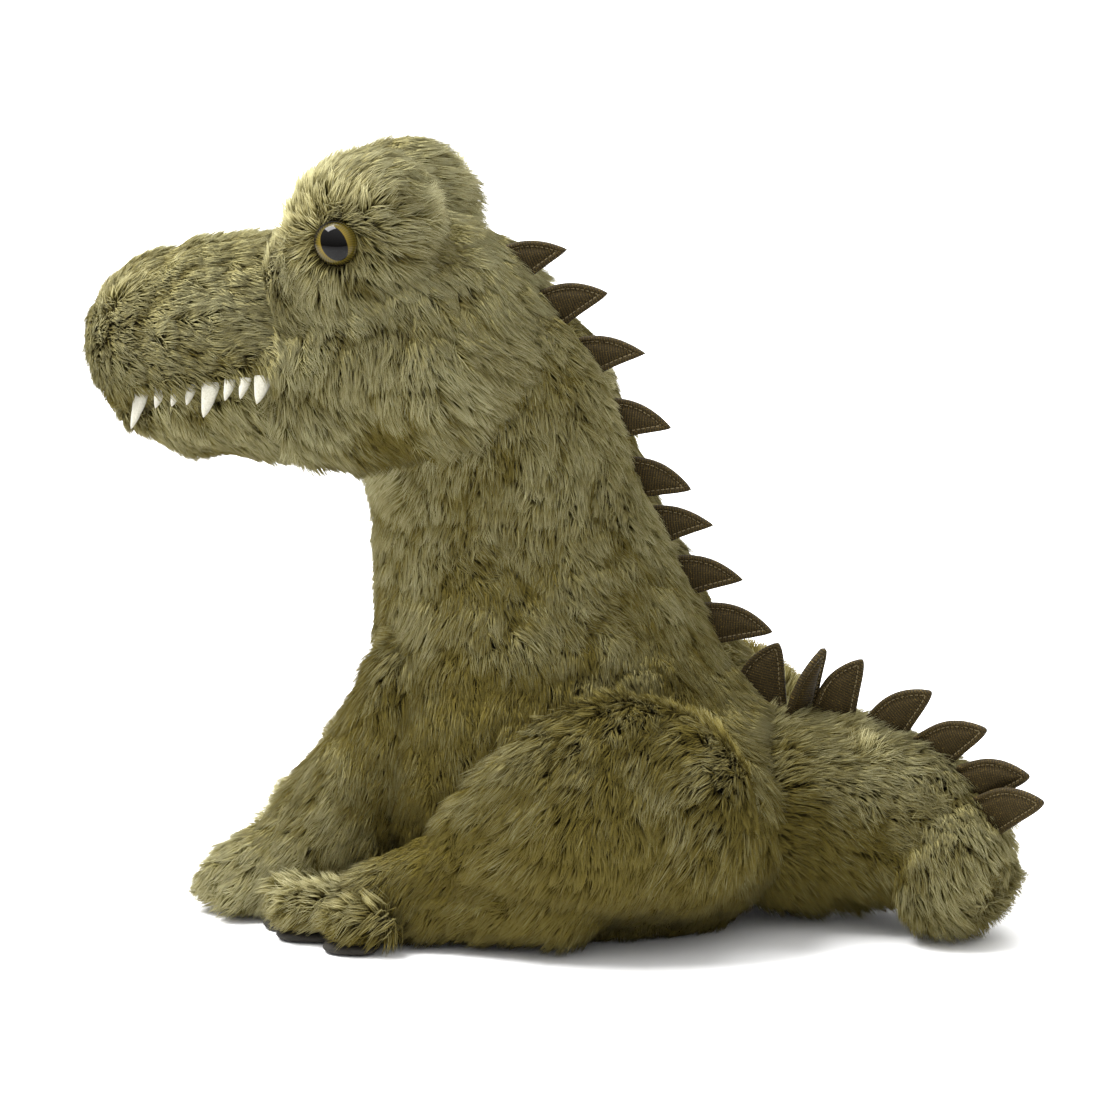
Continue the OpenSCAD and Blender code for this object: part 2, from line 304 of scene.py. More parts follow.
def points_of(mesh):
    co = np.zeros(len(mesh.vertices) * 3, np.float32)
    mesh.vertices.foreach_get("co", co)
    return co.reshape(-1, 3).astype(float) / MM


def net(field, low, high, step):
    """Vertices and quads of the field's zero surface, one vertex in each crossed cell."""
    axes = [np.arange(a, b + step, step) for a, b in zip(low, high, strict=True)]
    grid = np.stack(np.meshgrid(*axes, indexing="ij"), axis=-1)
    value = field(grid.reshape(-1, 3)).reshape(grid.shape[:3])
    cells = tuple(n - 1 for n in value.shape)
    total, count = np.zeros((*cells, 3)), np.zeros(cells)
    for a in np.ndindex(2, 2, 2):
        for axis in range(3):
            if a[axis]:
                continue
            b = tuple(v + (i == axis) for i, v in enumerate(a))
            va = value[tuple(slice(v, v + n) for v, n in zip(a, cells, strict=True))]
            vb = value[tuple(slice(v, v + n) for v, n in zip(b, cells, strict=True))]
            crossed = (va < 0) != (vb < 0)
            t = np.where(crossed, va / np.where(crossed, va - vb, 1), 0)
            at = np.array(a, float) + np.array([float(i == axis) for i in range(3)]) * t[..., None]
            total += np.where(crossed[..., None], at, 0)
            count += crossed
    used = count > 0
    index = np.full(cells, -1)
    index[used] = np.arange(used.sum())
    place = np.argwhere(used) + total[used] / count[used][:, None]
    vertices = np.array(low) + place * step
    inside = value < 0
    quads = []
    for axis in range(3):
        u, v = (axis + 1) % 3, (axis + 2) % 3
        first = np.moveaxis(inside, (axis, u, v), (0, 1, 2))
        cell = np.moveaxis(index, (axis, u, v), (0, 1, 2))
        for going_out in (True, False):
            start, stop = first[:-1, 1:-1, 1:-1], first[1:, 1:-1, 1:-1]
            i, j, k = np.nonzero(start & ~stop if going_out else ~start & stop)
            ring = [cell[i, j, k], cell[i, j + 1, k], cell[i, j + 1, k + 1], cell[i, j, k + 1]]
            quads.append(np.stack(ring if going_out else ring[::-1], axis=1))
    return vertices, np.concatenate(quads)


SWELL_STEPS = 14  # frames of the cloth simulation
SWELL_CAP = 3.0  # most that the stuffing may move a cover


def stuffed(piece, seam):
    """Swells a cover with its stuffing by a cloth simulation, holding it where seam(points) is true."""
    rest = points_of(piece.data)
    held = piece.vertex_groups.new(name="seam")
    held.add(np.nonzero(seam(rest))[0].tolist(), 1.0, "REPLACE")
    cloth = piece.modifiers.new("Cloth", "CLOTH")
    cloth.settings.quality = 4
    cloth.settings.mass = 0.15
    cloth.settings.tension_stiffness = 12
    cloth.settings.compression_stiffness = 12
    cloth.settings.bending_stiffness = 0.6
    cloth.settings.use_pressure = True
    cloth.settings.uniform_pressure_force = 4
    cloth.settings.vertex_group_mass = "seam"
    cloth.settings.effector_weights.gravity = 0
    cloth.collision_settings.use_collision = False
    cloth.point_cache.frame_start, cloth.point_cache.frame_end = 1, SWELL_STEPS
    for step in range(1, SWELL_STEPS + 1):
        bpy.context.scene.frame_set(step)
    swollen = piece.evaluated_get(bpy.context.evaluated_depsgraph_get()).to_mesh()
    moved = points_of(swollen) - rest
    piece.modifiers.remove(cloth)
    bpy.context.scene.frame_set(1)
    length = np.linalg.norm(moved, axis=1, keepdims=True)
    moved *= np.minimum(1, SWELL_CAP / np.maximum(length, 1e-6))
    place = rest + moved
    place[:, 2] = np.maximum(place[:, 2], GROUND - 1)
    piece.data.vertices.foreach_set("co", (place * MM).astype(np.float32).ravel())
    piece.data.update()


def triangles_of(mesh):
    mesh.calc_loop_triangles()
    corner = np.zeros(len(mesh.loop_triangles) * 3, np.int32)
    mesh.loop_triangles.foreach_get("vertices", corner)
    return corner.reshape(-1, 3)


def scatter(piece, density, rng):
    """Random points on a cover, density of them to a square millimetre, with their smooth normals."""
    co, tri = points_of(piece.data), triangles_of(piece.data)
    edge = np.cross(co[tri[:, 1]] - co[tri[:, 0]], co[tri[:, 2]] - co[tri[:, 0]])
    area = np.linalg.norm(edge, axis=1) / 2
    normal = np.zeros_like(co)
    for k in range(3):
        np.add.at(normal, tri[:, k], edge)
    normal = unit(normal)
    chosen = rng.choice(len(tri), int(area.sum() * density), p=area / area.sum())
    a, b = rng.random((2, len(chosen)))
    a, b = np.where(a + b > 1, 1 - a, a), np.where(a + b > 1, 1 - b, b)
    weight = np.stack([1 - a - b, a, b], axis=1)[:, :, None]
    return (co[tri[chosen]] * weight).sum(1), unit((normal[tri[chosen]] * weight).sum(1))


# ---- pile ----
TUFT_FACES = [(0, 1, 4, 3), (1, 2, 5, 4), (2, 0, 3, 5), (3, 4, 6), (4, 5, 6), (5, 3, 6), (0, 2, 1)]
TUFT_HEIGHT = [0, 0, 0, 0.55, 0.55, 0.55, 1]
MAX_TUFTS = 19800  # in one mesh
TUFT_WIDTH = (0.17, 0.38)  # radii at the root
TUFTS_PER_MM2 = 2.05


def pile_mesh(name, root, bend, tip, width, tone_and_painted_light, rng):
    """One mesh of closed tufts: a ring of three at the root and at the bend, and a tip."""
    n = len(root)
    along = unit(bend - root)
    side = unit(np.cross(along, rng.normal(size=(n, 3))))
    across = np.cross(along, side)
    ring = [math.cos(a) * side + math.sin(a) * across for a in (0, 2 * math.pi / 3, 4 * math.pi / 3)]
    w = width[:, None]
    rows = [root + r * w for r in ring] + [bend + r * w * 0.8 for r in ring] + [tip]
    vertices = np.stack(rows, axis=1).reshape(-1, 3)
    corner = np.array([v for face in TUFT_FACES for v in face])
    loops = (np.arange(n)[:, None] * len(TUFT_HEIGHT) + corner).ravel()
    sizes = np.tile([len(face) for face in TUFT_FACES], n)
    mesh = bpy.data.meshes.new(name)
    mesh.vertices.add(len(vertices))
    mesh.vertices.foreach_set("co", (vertices * MM).astype(np.float32).ravel())
    mesh.loops.add(len(loops))
    mesh.loops.foreach_set("vertex_index", loops.astype(np.int32))
    mesh.polygons.add(len(sizes))
    mesh.polygons.foreach_set("loop_start", (np.cumsum(sizes) - sizes).astype(np.int32))
    mesh.update(calc_edges=True)
    mesh.shade_smooth()
    layer = mesh.uv_layers.new(name="OFBake")
    height = np.array(TUFT_HEIGHT)[corner]
    u = 0.02 + 0.94 * tone_and_painted_light[:, None] + 0.02 * (corner % 3 == 1)
    v = 0.02 + 0.96 * np.tile(height, (n, 1))
    layer.data.foreach_set("uv", np.stack([u, v], axis=-1).astype(np.float32).ravel())
    return new_object(name, mesh)


def clumped(root, point, pull, spacing, rng):
    """Draws the points of neighbouring tufts towards those of a few, so that they lie in locks."""
    n = len(root)
    chosen = np.nonzero(rng.random(n) < 1 / spacing)[0]
    tree = kdtree.KDTree(len(chosen))
    for k, i in enumerate(chosen):
        tree.insert(root[i], k)
    tree.balance()
    nearest = np.array([tree.find(r)[1] for r in root])
    return point + (point[chosen[nearest]] - point) * pull[:, None]


def grow(name, piece, hidden, comb, length, lift, seed, tone_and_painted_light, clump=28):
    """Pile on a cover. comb(p, n) is the way that it is brushed, length(p) its length, lift(p) how upright it
    stands, from 0 to 1, and the tone rule how much paler it is, as its own tone and as painted light and shade.
    hidden(p) is true where another part covers it.
    About clump tufts share one lock."""
    rng = np.random.default_rng(seed)
    root, normal = scatter(piece, TUFTS_PER_MM2, rng)
    pressed = (normal[:, 2] < -0.6) & (root[:, 2] < GROUND + 4)
    seen = ~hidden(root + normal * 3) & (~pressed | (rng.random(len(root)) < 0.25))
    root, normal = root[seen], normal[seen]
    n = len(root)
    # Broad waves, narrow partings, where the pile is shorter and carries painted shade, and the way that the pile
    # is combed and ruffled.
    wave = noise(root, 21, seed + 7)
    parting_and_painted_shade = np.clip(1 - np.abs(noise(root, 15, seed + 14)) / 0.17, 0, 1)
    flow = unit(comb(root, normal)) + rng.normal(size=(n, 3)) * 0.16
    flow += 0.6 * noise_vector(root, 26, seed + 1) + 0.4 * noise_vector(root, 9, seed + 4)
    flow -= normal * (flow * normal).sum(1)[:, None]
    flow = unit(flow)
    # Each tuft leaves its root steeply, and then bends over and down.
    rise = np.minimum(lift(root) * (1 + 0.45 * wave + 0.25 * noise(root, 7, seed + 12)), 0.55)[:, None]
    uneven = (1 + 0.15 * wave + 0.12 * noise(root, 8, seed + 8) - 0.3 * parting_and_painted_shade) * rng.uniform(0.7, 1.15, n)
    long = (length(root) * uneven)[:, None]
    start = unit(normal * (rise + 0.45) + flow * (1 - rise))
    finish = unit(normal * (rise - 0.08) + flow * (1.1 - rise) - np.array([0, 0, 0.12]))
    bend = root + start * long * 0.5
    tip = bend + finish * long * 0.55
    pull = rng.uniform(0.2, 0.72, n)
    tip = clumped(root, tip, pull, clump, rng)
    bend = clumped(root, bend, pull * 0.3, clump, rng)
    tip[:, 2] = np.maximum(tip[:, 2], 0.4)
    bend[:, 2] = np.maximum(bend[:, 2], 0.9)
    root = root - normal * 0.6
    # Tone from 0 to 1: broad patches and flecks, painted shade in the partings, and painted light, paler where the
    # cover faces up and darker where it faces down.
    shade = 0.46 + 0.22 * wave + 0.16 * noise(root, 34, seed + 9) + 0.20 * noise(root, 6, seed + 10)
    shade += rng.normal(size=n) * 0.14 - 0.38 * parting_and_painted_shade + 0.24 * normal[:, 2]
    shade = np.clip(shade + tone_and_painted_light(root), 0, 1)
    width = rng.uniform(*TUFT_WIDTH, n)
    pieces = []
    order = np.argsort(root[:, 1], kind="stable")
    parts = np.array_split(order, math.ceil(n / MAX_TUFTS))
    for k, part in enumerate(parts):
        part_name = name if len(parts) == 1 else f"{name}_{k + 1}"
        pieces.append(pile_mesh(part_name, root[part], bend[part], tip[part], width[part], shade[part], rng))
    return pieces


# ---- materials ----
class Graph:
    """Short ways to add shader nodes to a material or a world."""

    def __init__(self, owner):
        owner.use_nodes = True
        self.nodes, self.links = owner.node_tree.nodes, owner.node_tree.links

    def feed(self, socket, value):
        """Links a socket to another one, or sets its own value."""
        if isinstance(value, bpy.types.NodeSocket):
            self.links.new(value, socket)
        else:
            socket.default_value = (*value, 1) if isinstance(value, tuple) else value

    def ramp(self, value, stops):
        node = self.nodes.new("ShaderNodeValToRGB")
        while len(node.color_ramp.elements) < len(stops):
            node.color_ramp.elements.new(0.5)
        for element, (at, colour) in zip(node.color_ramp.elements, stops, strict=True):
            element.position = at
            element.color = (*colour, 1)
        self.feed(node.inputs["Fac"], value)
        return node.outputs["Color"]

    def noise(self, vector, scale, detail):
        node = self.nodes.new("ShaderNodeTexNoise")
        for name, value in (("Scale", scale), ("Detail", detail), ("Roughness", 0.6), ("Vector", vector)):
            self.feed(node.inputs[name], value)
        return node.outputs["Fac"]

    def mix(self, factor, a, b):
        node = self.nodes.new("ShaderNodeMix")
        node.data_type = "RGBA"
        for number, value in ((0, factor), (6, a), (7, b)):
            self.feed(node.inputs[number], value)
        return node.outputs[2]

    def maths(self, how, *values):
        node = self.nodes.new("ShaderNodeMath")
        node.operation = how
        for socket, value in zip(node.inputs, values, strict=False):
            self.feed(socket, value)
        return node.outputs[0]

    def bump(self, shader, height, strength, distance):
        node = self.nodes.new("ShaderNodeBump")
        for name, value in (("Strength", strength), ("Distance", distance), ("Height", height)):
            self.feed(node.inputs[name], value)
        self.feed(shader.inputs["Normal"], node.outputs["Normal"])

    def place(self):
        return self.nodes.new("ShaderNodeTexCoord").outputs["Object"]

    def square(self):
        """The place in a mesh's own square, whole and as its two parts."""
        node = self.nodes.new("ShaderNodeUVMap")
        node.uv_map = "OFBake"
        split = self.nodes.new("ShaderNodeSeparateXYZ")
        self.feed(split.inputs[0], node.outputs["UV"])
        return node.outputs["UV"], split.outputs[0], split.outputs[1]


def material(name):
    mat = bpy.data.materials.new(name)
    g = Graph(mat)
    return mat, g, g.nodes["Principled BSDF"]


def surface(g, shader, colour, rough, *more):
    """Feeds the shader its colour and its roughness, and more pairs of a name and a value."""
    for name, value in (("Base Color", colour), ("Roughness", rough), *more):
        g.feed(shader.inputs[name], value)


def pile_material():
    """Olive pile: darker towards the roots, partly its own colour and partly painted shade between the hairs, pale
    at the tips, with each tuft's tone, which carries painted light and shade.
    """
    mat, g, shader = material("pile")
    _, tone_and_painted_light, height = g.square()
    # Darker towards the root: partly the pile's own colour, partly painted shade between the hairs.
    dark = g.ramp(height, [(0, (0.040, 0.028, 0.003)), (0.45, (0.086, 0.065, 0.010)),
                           (1, (0.170, 0.136, 0.030))])
    pale = g.ramp(height, [(0, (0.090, 0.075, 0.017)), (0.45, (0.250, 0.220, 0.078)),
                           (1, (0.600, 0.570, 0.340))])
    colour = g.mix(tone_and_painted_light, dark, pale)
    surface(g, shader, colour, 0.8, ("Specular IOR Level", 0.03), ("Sheen Weight", 0.02))
    return mat


def backing_material():
    """The knitted backing cloth with the roots of its pile."""
    mat, g, shader = material("backing")
    place = g.place()
    fine = g.noise(place, 900, 4)
    broad = g.noise(place, 45, 2)
    colour = g.ramp(fine, [(0.3, (0.045, 0.036, 0.008)), (0.7, (0.110, 0.092, 0.026))])
    colour = g.mix(broad, colour, (0.080, 0.067, 0.018))
    surface(g, shader, colour, 0.95)
    g.bump(shader, fine, 0.6, 0.0006)
    return mat


def spike_material():
    """Dark brown ribbed cloth with flecks of gold thread."""
    mat, g, shader = material("spike_cloth")
    vector, u, v = g.square()
    rib = g.maths("SINE", g.maths("MULTIPLY", u, 250.0))
    weft = g.maths("SINE", g.maths("MULTIPLY", v, 290.0))
    weave = g.maths("ADD", g.maths("MULTIPLY", rib, 0.34), g.maths("MULTIPLY", weft, 0.14))
    weave = g.maths("ADD", weave, 0.5)
    broad = g.noise(vector, 9, 3)
    speck = g.noise(vector, 75, 2)
    colour = g.ramp(weave, [(0.15, (0.004, 0.003, 0.001)), (0.85, (0.046, 0.029, 0.005))])
    worn = g.maths("MULTIPLY", broad, 0.6)
    colour = g.mix(worn, colour, (0.030, 0.020, 0.004))
    fleck = g.ramp(speck, [(0.60, (0, 0, 0)), (0.70, (1, 1, 1))])
    fleck = g.maths("MULTIPLY", fleck, 0.8)
    colour = g.mix(fleck, colour, (0.200, 0.135, 0.028))
    surface(g, shader, colour, 0.75, ("Specular IOR Level", 0.2))
    g.bump(shader, weave, 0.6, 0.0003)
    return mat


def felt_material():
    """Off-white felt, a little mottled."""
    mat, g, shader = material("felt")
    place = g.place()
    fine = g.noise(place, 1400, 5)
    broad = g.noise(place, 160, 2)
    colour = g.ramp(fine, [(0.3, (0.33, 0.315, 0.25)), (0.7, (0.52, 0.505, 0.43))])
    colour = g.mix(g.maths("MULTIPLY", broad, 0.4), colour, (0.44, 0.41, 0.31))
    surface(g, shader, colour, 0.9, ("Sheen Weight", 0.3))
    g.bump(shader, fine, 0.5, 0.0003)
    return mat


PUPIL_SHIFT = 0.07  # of the pupil towards the back of the dome, as a share of the iris's width
PUPIL_LEAN = math.radians(15)  # of the pupil's top, forwards


def eye_material():
    """A painted iris, amber to olive, with a slit pupil, under a clear glossy dome."""
    mat, g, shader = material("eye_dome")
    _, u, v = g.square()
    x = g.maths("SUBTRACT", u, 0.5 + PUPIL_SHIFT)
    y = g.maths("SUBTRACT", v, 0.5)

    def turned(a, b, cosine, sine):
        a = g.maths("MULTIPLY", a, cosine)
        return g.maths("ADD", a, g.maths("MULTIPLY", b, sine))

    def oval(w, h, lean=0.0):
        across = turned(x, y, math.cos(lean), math.sin(lean))
        along = turned(y, x, math.cos(lean), -math.sin(lean))
        a = g.maths("POWER", g.maths("DIVIDE", across, w), 2.0)
        b = g.maths("POWER", g.maths("DIVIDE", along, h), 2.0)
        return g.maths("SQRT", g.maths("ADD", a, b))

    angle = g.maths("ARCTAN2", y, x)
    spokes = g.maths("SINE", g.maths("MULTIPLY", angle, 46.0))
    spokes = g.maths("MULTIPLY", spokes, 0.04)
    ring = g.maths("ADD", oval(0.45, 0.45), spokes)
    iris = g.ramp(ring, [(0.60, (0.16, 0.112, 0.014)), (0.78, (0.085, 0.064, 0.010)),
                         (0.90, (0.040, 0.031, 0.005)), (0.98, (0.003, 0.002, 0.001))])
    pupil = g.ramp(oval(0.27, 0.38, PUPIL_LEAN), [(0.95, (1, 1, 1)), (1.0, (0, 0, 0))])
    colour = g.mix(pupil, iris, (0.0015, 0.0012, 0.0010))
    surface(g, shader, colour, 0.25, ("Specular IOR Level", 0.0), ("Coat Weight", 0.4),
            ("Coat Roughness", 0.03))
    return mat


def plain_material(name, colours, scale, rough, depth=0.0002):
    """A surface with two close colours in a fine grain, such as moulded plastic or loose fibre."""
    mat, g, shader = material(name)
    grain = g.noise(g.place(), scale, 4)
    surface(g, shader, g.ramp(grain, [(0.3, colours[0]), (0.7, colours[1])]), rough)
    g.bump(shader, grain, 0.4, depth)
    return mat


def pellet_material():
    """Round white pellets, packed close, each with painted shade greying it towards its edge."""
    mat, g, shader = material("pellets")
    cells = g.nodes.new("ShaderNodeTexVoronoi")
    cells.inputs["Scale"].default_value = 300
    g.feed(cells.inputs["Vector"], g.place())
    far = cells.outputs["Distance"]
    # Painted shade: white in the middle of each pellet, greying towards its edge as a round bead is shaded.
    colour = g.ramp(far, [(0, (0.80, 0.80, 0.78)), (0.6, (0.30, 0.30, 0.29))])
    surface(g, shader, colour, 0.35)
    g.bump(shader, far, 0.8, 0.001)
    return mat


PILE_MAT = pile_material()
BACKING = backing_material()
SPIKE_CLOTH = spike_material()
FELT = felt_material()
EYE = eye_material()
THREAD = plain_material("thread", ((0.10, 0.075, 0.03), (0.22, 0.17, 0.08)), 2500, 0.6)
FIBRE = plain_material("fibre", ((0.62, 0.61, 0.58), (0.90, 0.90, 0.88)), 260, 0.95, 0.003)
POUCH = plain_material("pouch", ((0.42, 0.38, 0.30), (0.60, 0.55, 0.45)), 1200, 0.85)
BLACK = plain_material("eye_black", ((0.006, 0.006, 0.006), (0.014, 0.014, 0.014)), 700, 0.35)
WASHER = plain_material("washer", ((0.66, 0.66, 0.64), (0.80, 0.80, 0.78)), 500, 0.5)
# Near-black, for the pads under the front of the hind feet.
DARK_FOOT_PAD = plain_material("sole", ((0.006, 0.005, 0.003), (0.024, 0.019, 0.011)), 1500, 0.8, 0.0003)
PELLETS = pellet_material()


def dress(piece, mat):
    piece.data.materials.clear()
    piece.data.materials.append(mat)


# ---- covers ----
FORMS = {"crown": crown_form, "jaw": jaw_form, "torso": torso_form, "tail": tail_form}
SKINS = {"crown": "head_skin", "jaw": "jaw_skin", "torso": "torso_skin", "tail": "tail_skin"}
for side_name in SIDES:
    FORMS[f"front_leg_{side_name}"] = front_leg_form(side_name)
    FORMS[f"hind_leg_{side_name}"] = hind_leg_form(side_name)
for limb in ("front_leg", "hind_leg"):
    for side_name in SIDES:
        SKINS[f"{limb}_{side_name}"] = f"{limb}_skin_{side_name}"
FILLINGS = {part: skin.replace("skin", "filling") for part, skin in SKINS.items() if part != "jaw"}
ROOM = 22.0  # round a CAD node, for the visual form that stands in for it


def meshed(name, part, field, step):
    """A piece that is a field's surface in the space around a part's CAD node."""
    low, high = corners(SKINS[part])
    vertices, quads = net(field, low - ROOM, high + ROOM, step)
    mesh = mesh_of(name, vertices, quads.tolist())
    mesh.validate()
    return new_object(name, mesh)


def follow(piece, part):
    """Makes a piece on the head or a leg move with that part's body; a piece on the torso or the tail is only
    fixed where it stands.
    """
    if part in ("crown", "jaw"):
        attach(piece, "head")
    elif part == "torso":
        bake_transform(piece)
    elif part == "tail":
        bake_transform(piece)
    else:
        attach(piece, part)


def on_seam(part):
    """Where a cover is held: its seams along the spine, belly and mouth, and the ground that it sits on."""
    if part in ("crown", "jaw"):
        return lambda p: (np.abs(p[:, 1]) < 3) | (np.abs(below_mouth(p - SKULL)) < 5)
    if part in ("torso", "tail"):
        return lambda p: (np.abs(p[:, 1]) < 3) | (p[:, 2] < GROUND + 3)
    return lambda p: p[:, 2] < GROUND + 3


COVERS = {}
for part_name, part_form in FORMS.items():
    made = meshed(f"{part_name}_cover", part_name, cloth_of(part_form), 4.0)
    stuffed(made, on_seam(part_name))
    dress(made, BACKING)
    COVERS[part_name] = made


# ---- pile of each part ----
EYES = {s: middle(f"eye_dome_{s}") for s in SIDES}


def covered_by(*parts, deep=1.0):
    """True where a point lies that deep in the cloth of one of these parts."""
    fields = [cloth_of(FORMS[part]) for part in parts]
    return lambda p: np.any([field(p) < -deep for field in fields], axis=0)


def near_eye(p):
    """True where an eye's dome leaves no room for pile. The bare spot reaches a little further in front."""
    front = np.array([2.0, 0, 0])
    return np.any([np.linalg.norm(p - EYES[s] + front, axis=1) < 9.6 for s in SIDES], axis=0)


def behind_tooth(p):
    """True where a tooth lies over the cloth."""
    found = np.zeros(len(p), bool)
    for node in TOOTH_NAMES:
        lo, hi = corners(node)
        q = (p - (lo + hi) / 2) / ((hi - lo) / 2 + (0.5, 6, 0.5))
        found |= np.linalg.norm(q, axis=1) < 1
    return found


def over_dark_pad(p):
    """True low at the front of the hind feet, where the dark pad shows."""
    front = corners("sole_pad_left")[0][0] + 25
    return (p[:, 2] < 5.5) & (p[:, 0] < front)


def by_seam(p):
    """1 at the seam down the middle, fading to 0 at 8 mm from it."""
    return np.clip(1 - np.abs(p[:, 1:2]) / 8, 0, 1)


def blow(p, where, reach):
    """1 at a place, fading to 0 at that reach."""
    return np.clip(1 - np.linalg.norm(p - where, axis=1) / reach, 0, 1)


def at_lip(p):
    """1 just above the mouth line, fading to 0 at 9 mm above it."""
    return np.clip(1 + below_mouth(p - SKULL) / 9, 0, 1) * (p[:, 0] < SKULL[0] + MOUTH_END)


def comb_head(p, n):
    q = p - SKULL
    back = np.clip((q[:, 0] + 60) / 60, 0, 1)[:, None]
    flow = np.array([1.0, 0, -0.10]) * (1 - back) + np.array([0.55, 0, -0.75]) * back
    flow = flow + np.array([0.3, 0, 0.9]) * np.clip((q[:, 2:3] - 35) / 20, 0, 1)
    for s in SIDES:
        away = p - EYES[s]
        flow = flow + unit(away) * (1.6 * blow(p, EYES[s], 30) ** 0.5)[:, None]
    return flow + np.array([0, 0, -3.0]) * at_lip(p)[:, None]


def comb_jaw(p, n):
    return np.tile([1.0, 0, -0.35], (len(p), 1)) + n * (0, 0.4, 0)


def comb_torso(p, n):
    parted = 1.5 * by_seam(p) * np.sign(p[:, 1:2]) * (n[:, :1] > 0)
    return np.tile([0.10, 0, -1.0], (len(p), 1)) + n * (0.2, 0.2, 0) + parted * (0, 1, 0)


def comb_limb(p, n):
    """Over the top and down the outside of a leg, and forwards along its foot."""
    foot = np.clip((60 - p[:, 2:3]) / 40, 0, 1)
    down = np.cross([1.0, 0, 0], n) * -np.sign(p[:, 1:2])
    return (down + (-0.45, 0, -0.4)) * (1 - foot) + (down * 0.35 + (-0.8, 0, -0.35)) * foot + n * (0, 0.3, 0)


def torso_length(p):
    return 12 - 5 * by_seam(p)[:, 0] * (p[:, 0] > TORSO_BASE[0] - p[:, 2] * math.tan(TORSO_LEAN))


def comb_tail(p, n):
    t = np.clip((p[:, 0] - TAIL_ROOT[0]) / (TAIL_TIP[0] - TAIL_ROOT[0]), 0, 1)[:, None]
    along = (TAIL_BEND - TAIL_ROOT) * (1 - t) + (TAIL_TIP - TAIL_BEND) * t
    return unit(along) + np.array([0.25, 0, -0.35]) + n * 0.2


def constant(value):
    return lambda p: np.full(len(p), float(value))


def head_length(p):
    q = p - SKULL
    front = np.clip((q[:, 0] + 125) / 70, 0, 1)
    long = (10.5 + 3.5 * front) * (1 - 0.45 * np.max([blow(p, EYES[s], 22) for s in SIDES], axis=0))
    return long + 4.5 * at_lip(p)


def head_lift(p):
    return 0.40 - 0.15 * at_lip(p) - 0.08 * np.clip((-60 - (p - SKULL)[:, 0]) / 40, 0, 1)


def foot_length(p):
    return 13.5 - 2.0 * np.clip((40 - p[:, 2]) / 20, 0, 1) * np.clip((-40 - p[:, 0]) / 30, 0, 1)


# Painted light: paler low at the front of the feet, where they face the light. Also darker all over, and darker
# still over the top of the leg.
def foot_tone_and_painted_light(p):
    crest = 0.22 * np.clip((p[:, 2] - 78) / 20, 0, 1)
    return 0.40 * np.clip((-40 - p[:, 0]) / 60, 0, 1) * np.clip((60 - p[:, 2]) / 40, 0, 1) - 0.46 - crest


# Painted light: paler towards the front of the muzzle and over the top of the head, where the light falls.
def face_tone_and_painted_light(p):
    q = p - SKULL
    return 0.04 + 0.10 * np.clip((-10 - q[:, 0]) / 60, 0, 1) + 0.20 * np.clip((q[:, 2] - 20) / 30, 0, 1)


def tail_tone(p):
    return -0.37 + 0.34 * np.clip((p[:, 0] - 125) / 55, 0, 1)


# Painted light and shade: paler high on the front of the chest and neck, darker low down under the body. Also
# darker all over.
def chest_tone_and_painted_light(p):
    low = np.clip((150 - p[:, 2]) / 110, 0, 1)
    return 0.30 * np.clip((-35 - p[:, 0]) / 35, 0, 1) * (1 - low) - 0.22 - 0.30 * low


PILES = {
    "crown": dict(hidden=lambda p: covered_by("torso", "jaw")(p) | near_eye(p), comb=comb_head,
                  length=head_length, lift=head_lift, tone_and_painted_light=face_tone_and_painted_light, seed=11),
    "jaw": dict(hidden=lambda p: covered_by("crown", "torso")(p) | behind_tooth(p), comb=comb_jaw,
                length=constant(9.5), lift=constant(0.36), tone_and_painted_light=constant(0.10), seed=23),
    "torso": dict(hidden=covered_by("crown", "front_leg_left", "front_leg_right", "hind_leg_left",
                                    "hind_leg_right", "tail"),
                  comb=comb_torso, length=torso_length, lift=constant(0.38), tone_and_painted_light=chest_tone_and_painted_light, seed=37),
    "tail": dict(hidden=covered_by("torso", deep=8), comb=comb_tail, length=constant(13.5),
                 lift=constant(0.5), tone_and_painted_light=tail_tone, seed=53, clump=18),
}
for side_name in SIDES:
    # The front legs' pile is paler all over than the hind legs', painted light on the front of the body.
    PILES[f"front_leg_{side_name}"] = dict(
        hidden=covered_by("torso", deep=12), comb=comb_limb, length=foot_length, lift=constant(0.40),
        tone_and_painted_light=lambda p: foot_tone_and_painted_light(p) + 0.26, seed=71)
    PILES[f"hind_leg_{side_name}"] = dict(
        hidden=lambda p: covered_by("torso", deep=9)(p) | over_dark_pad(p), comb=comb_limb, length=foot_length,
        lift=constant(0.40), tone_and_painted_light=foot_tone_and_painted_light, seed=89)

tuft_count = 0
for part_name, rules in PILES.items():
    for tufts in grow(f"{part_name}_pile", COVERS[part_name], **rules):
        dress(tufts, PILE_MAT)
        follow(tufts, part_name)
        tuft_count += len(tufts.data.vertices) // len(TUFT_HEIGHT)

# ---- covers and fillings take their places ----
for part_name, made in COVERS.items():
    shell = made.modifiers.new("Cloth thickness", "SOLIDIFY")
    shell.thickness = CLOTH * MM
    shell.offset = -1
    follow(made, part_name)
    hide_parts(SKINS[part_name])

bean_low, bean_high = corners("bean_pouch")


def without_hardware(form):
    """A filling's form inside its cover, with room for the eyes' washers and the bean bag."""
    inside = cloth_of(form, PILE + CLOTH + 3)

    def room(p):
        d = inside(p)
        for s in SIDES:
            inner, outer = middle(f"eye_washer_{s}"), EYES[s]
            d = np.maximum(d, -chain(p, [(*(inner * 1.3 - outer * 0.3), 9), (*outer, 9)]))
        centre = (bean_low + bean_high) / 2
        out = np.linalg.norm((p - centre)[:, :2], axis=1) - (bean_high - bean_low)[0] / 2 - 1
        high = np.abs(p[:, 2] - centre[2]) - (bean_high - bean_low)[2] / 2 - 1
        return np.maximum(d, -np.maximum(out, high))
    return room


